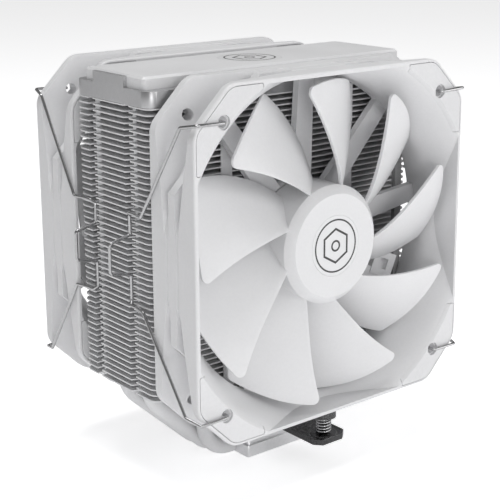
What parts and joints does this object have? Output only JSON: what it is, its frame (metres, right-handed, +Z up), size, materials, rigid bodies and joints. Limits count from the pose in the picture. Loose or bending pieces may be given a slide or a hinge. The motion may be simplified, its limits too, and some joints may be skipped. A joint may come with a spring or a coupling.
{
  "type": "cpu tower cooler",
  "caption": "Tower-shaped processor cooler: a stack of fins on bent heat pipes between two square fans held by wire clips, with a capped top and a spring-screw mounting bar.",
  "frame": {"origin": "centre of the contact face under the base, which rests on the processor", "axes": "+Z up through the fins to the top cover, +Y the way the air flows from the front fan to the rear fan, +X across the fins, to the right as seen from the front fan"},
  "size_m": [0.1462, 0.1062, 0.1553],
  "materials": {
    "fan_white": "satin moulded plastic",
    "blade_white": "satin moulded plastic",
    "pad_rubber": "matte rubber",
    "white_coating": "thin white coating, satin",
    "base_metal": "milled",
    "dark_metal": "black nickel, satin",
    "steel": "bright",
    "silver_cover": "satin anodised",
    "cap_white": "white coating, satin",
    "emblem": "satin",
    "badge": "printed disc",
    "bearing_brass": "sintered",
    "magnet": "bonded magnet",
    "copper": "enamelled wire",
    "board": "circuit board",
    "strip_rubber": "matte rubber"
  },
  "bodies": {
    "cooler": {"fin_stack": "white_coating", "heat_pipes": "white_coating", "base_block": "base_metal", "mounting_bar": "dark_metal", "bar_screws": "dark_metal", "cover_tray": "silver_cover", "cover_cap": "cap_white", "cover_emblem": "emblem", "cover_screws": "steel", "front_fan_frame": "fan_white", "front_fan_front_pads": "pad_rubber", "front_fan_rear_pads": "pad_rubber", "front_fan_bearing_sleeve": "bearing_brass", "front_fan_stator_core": "steel", "front_fan_stator_coils": "copper", "front_fan_motor_board": "board", "front_fan_rear_label": "badge", "spacer_strips_front": "strip_rubber", "screw_spring_front": "steel", "rear_fan_frame": "fan_white", "rear_fan_front_pads": "pad_rubber", "rear_fan_rear_pads": "pad_rubber", "rear_fan_bearing_sleeve": "bearing_brass", "rear_fan_stator_core": "steel", "rear_fan_stator_coils": "copper", "rear_fan_motor_board": "board", "rear_fan_rear_label": "badge", "spacer_strips_rear": "strip_rubber", "screw_spring_rear": "steel"},
    "front_rotor": {"front_fan_impeller": "blade_white", "front_fan_hub_badge": "badge", "front_fan_rotor_yoke": "steel", "front_fan_rotor_magnet": "magnet", "front_fan_shaft": "steel", "front_fan_retaining_ring": "steel"},
    "front_screw_slide": {"e_clip_front": "steel"},
    "front_screw": {"spring_screw_front": "dark_metal"},
    "clip_front_left": {"wire_clip_front_left": "steel"},
    "clip_front_right": {"wire_clip_front_right": "steel"},
    "rear_rotor": {"rear_fan_impeller": "blade_white", "rear_fan_hub_badge": "badge", "rear_fan_rotor_yoke": "steel", "rear_fan_rotor_magnet": "magnet", "rear_fan_shaft": "steel", "rear_fan_retaining_ring": "steel"},
    "rear_screw_slide": {"e_clip_rear": "steel"},
    "rear_screw": {"spring_screw_rear": "dark_metal"},
    "clip_rear_left": {"wire_clip_rear_left": "steel"},
    "clip_rear_right": {"wire_clip_rear_right": "steel"}
  },
  "joints": [
    {"name": "front_fan_spin", "type": "hinge", "parent": "cooler", "child": "front_rotor", "pos_m": [0, -0.03865, 0.09], "axis": [0, -1, 0], "continuous": true},
    {"name": "front_screw_plunge", "type": "slide", "parent": "cooler", "child": "front_screw_slide", "axis": [0, 0, 1], "range_m": [-0.003, 0], "stiffness_N_per_m": 3000, "springref_m": 0.002, "deforming": ["screw_spring_front"]},
    {"name": "front_screw_turn", "type": "hinge", "parent": "front_screw_slide", "child": "front_screw", "pos_m": [0, -0.04435, 0.015], "axis": [0, 0, 1], "continuous": true},
    {"name": "clip_front_left_swing", "type": "hinge", "parent": "cooler", "child": "clip_front_left", "pos_m": [-0.0525, -0.0524, 0.09], "axis": [0, 0, 1], "range_deg": [0, 25]},
    {"name": "clip_front_right_swing", "type": "hinge", "parent": "cooler", "child": "clip_front_right", "pos_m": [0.0525, -0.0524, 0.09], "axis": [0, 0, -1], "range_deg": [0, 25]},
    {"name": "rear_fan_spin", "type": "hinge", "parent": "cooler", "child": "rear_rotor", "pos_m": [0, 0.03865, 0.09], "axis": [0, -1, 0], "continuous": true},
    {"name": "rear_screw_plunge", "type": "slide", "parent": "cooler", "child": "rear_screw_slide", "axis": [0, 0, 1], "range_m": [-0.003, 0], "stiffness_N_per_m": 3000, "springref_m": 0.002, "deforming": ["screw_spring_rear"]},
    {"name": "rear_screw_turn", "type": "hinge", "parent": "rear_screw_slide", "child": "rear_screw", "pos_m": [0, 0.04435, 0.015], "axis": [0, 0, 1], "continuous": true},
    {"name": "clip_rear_left_swing", "type": "hinge", "parent": "cooler", "child": "clip_rear_left", "pos_m": [-0.0525, 0.0524, 0.09], "axis": [0, 0, -1], "range_deg": [0, 25]},
    {"name": "clip_rear_right_swing", "type": "hinge", "parent": "cooler", "child": "clip_rear_right", "pos_m": [0.0525, 0.0524, 0.09], "axis": [0, 0, 1], "range_deg": [0, 25]}
  ]
}
